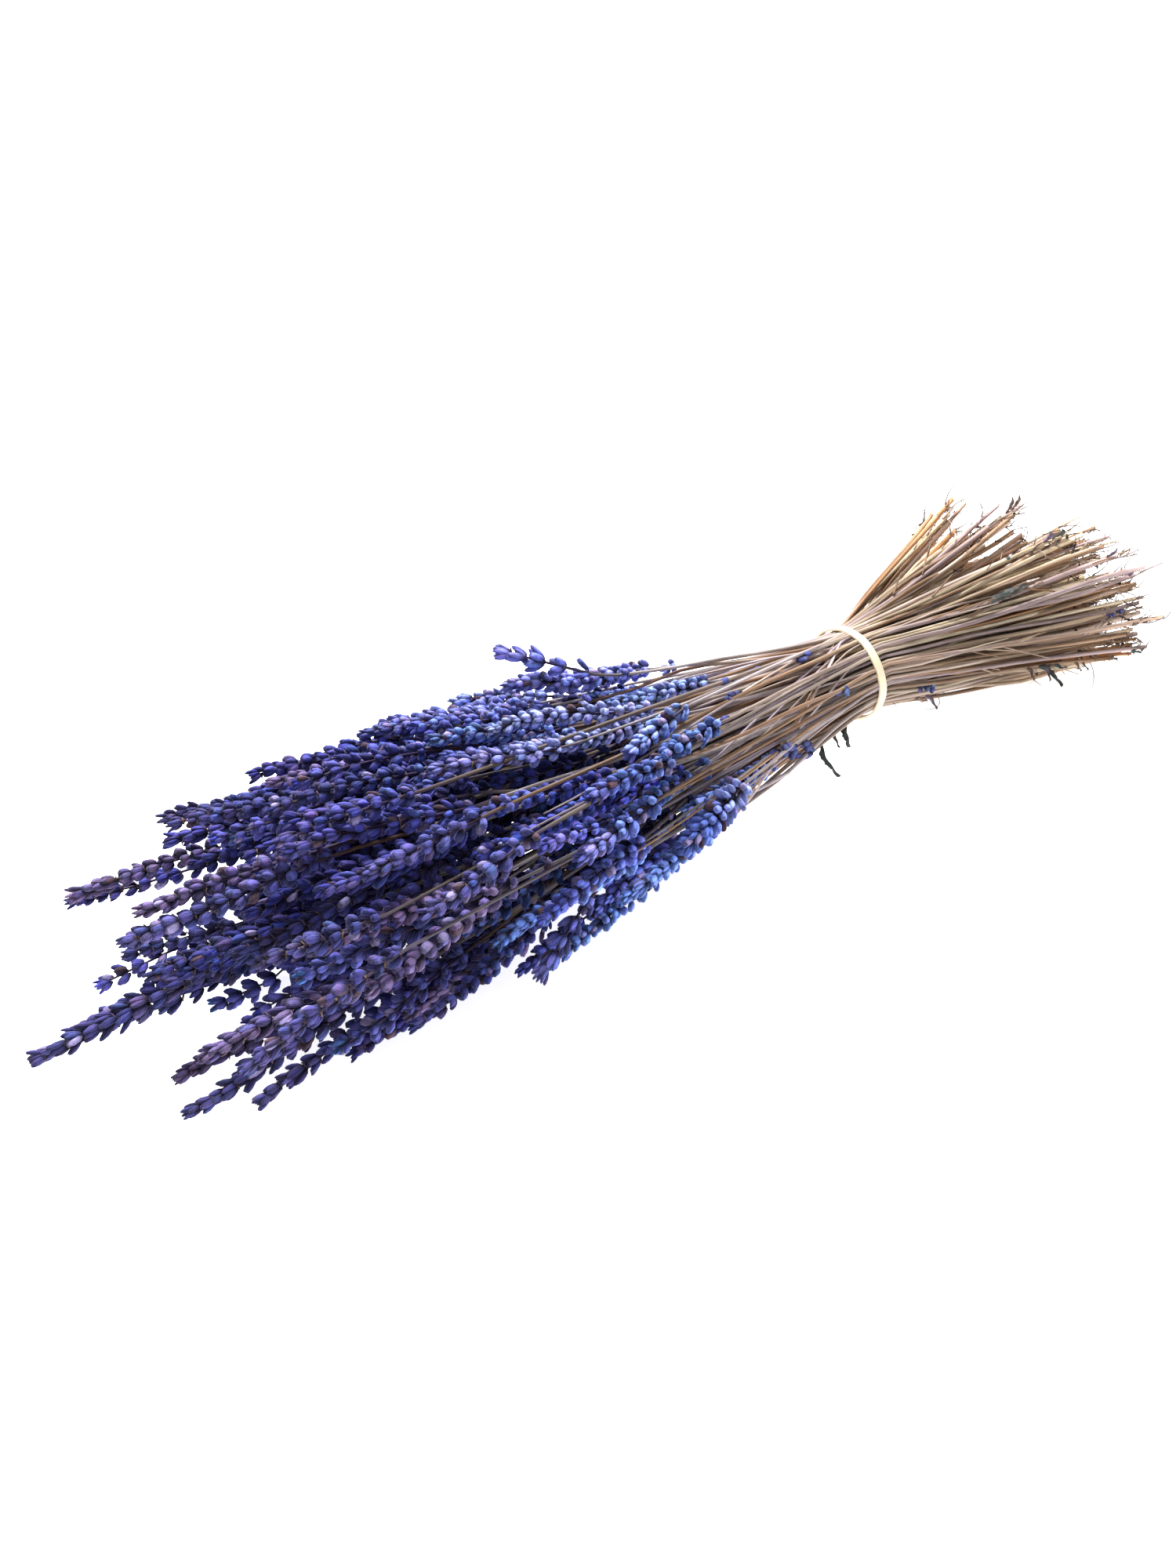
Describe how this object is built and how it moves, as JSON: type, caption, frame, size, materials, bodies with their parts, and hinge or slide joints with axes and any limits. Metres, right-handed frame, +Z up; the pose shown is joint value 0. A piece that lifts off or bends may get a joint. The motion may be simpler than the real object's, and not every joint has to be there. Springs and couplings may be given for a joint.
{
  "type": "bunch of dried lavender",
  "caption": "Bunch of dried lavender lying on its side: a thatch of violet flower spikes on thin brown stems, tied near the cut ends with a flat cream rubber band.",
  "frame": {"origin": "on the table, under the middle of the bunch's own bounding box", "axes": "+Z up; +X along the bunch from the cut stem ends to the flower tips; +Y to the side that the bunch's near flank faces"},
  "size_m": [0.4482, 0.1052, 0.0846],
  "materials": {
    "bloom_violet": "matt dried flower buds, violet",
    "bloom_indigo": "matt dried flower buds, blue-violet",
    "bloom_mauve": "matt dried flower buds, faded mauve",
    "dry_stem": "dull ribbed dried plant stem, taupe brown",
    "dry_leaf": "matt dried leaf, dark grey-green",
    "band_rubber": "smooth natural rubber, cream, satin"
  },
  "bodies": {
    "root": {"leaf_1": "dry_leaf", "leaf_2": "dry_leaf", "leaf_3": "dry_leaf", "leaf_4": "dry_leaf", "rubber_band": "band_rubber", "spike_drooping": "bloom_mauve", "spike_far": "bloom_mauve", "spike_lone": "bloom_mauve", "spike_longest": "bloom_mauve", "spike_low": "bloom_mauve", "spike_upper": "bloom_mauve", "spikes_collar_1": "bloom_indigo", "spikes_collar_2": "bloom_indigo", "spikes_collar_3": "bloom_indigo", "spikes_collar_4": "bloom_indigo", "spikes_front_1": "bloom_violet", "spikes_front_10": "bloom_violet", "spikes_front_11": "bloom_violet", "spikes_front_2": "bloom_violet", "spikes_front_3": "bloom_violet", "spikes_front_4": "bloom_violet", "spikes_front_5": "bloom_violet", "spikes_front_6": "bloom_violet", "spikes_front_7": "bloom_violet", "spikes_front_8": "bloom_violet", "spikes_front_9": "bloom_violet", "spikes_heart_1": "bloom_violet", "spikes_heart_2": "bloom_violet", "spikes_heart_3": "bloom_violet", "spikes_inner_1": "bloom_violet", "spikes_inner_2": "bloom_violet", "spikes_inner_3": "bloom_violet", "spikes_inner_4": "bloom_violet", "spikes_inner_5": "bloom_violet", "spikes_middle_1": "bloom_violet", "spikes_middle_10": "bloom_violet", "spikes_middle_2": "bloom_violet", "spikes_middle_3": "bloom_violet", "spikes_middle_4": "bloom_violet", "spikes_middle_5": "bloom_violet", "spikes_middle_6": "bloom_violet", "spikes_middle_7": "bloom_violet", "spikes_middle_8": "bloom_violet", "spikes_middle_9": "bloom_violet", "spikes_shoulder_1": "bloom_indigo", "spikes_shoulder_2": "bloom_indigo", "spikes_shoulder_3": "bloom_indigo", "spikes_shoulder_4": "bloom_indigo", "spikes_shoulder_5": "bloom_indigo", "spikes_shoulder_6": "bloom_indigo", "spikes_shoulder_7": "bloom_indigo", "spikes_shoulder_8": "bloom_indigo", "spikes_tip_1": "bloom_mauve", "spikes_tip_2": "bloom_mauve", "spikes_tip_3": "bloom_mauve", "spikes_tip_4": "bloom_mauve", "spikes_tip_5": "bloom_mauve", "spikes_tip_6": "bloom_mauve", "stems": "dry_stem"}
  },
  "joints": []
}
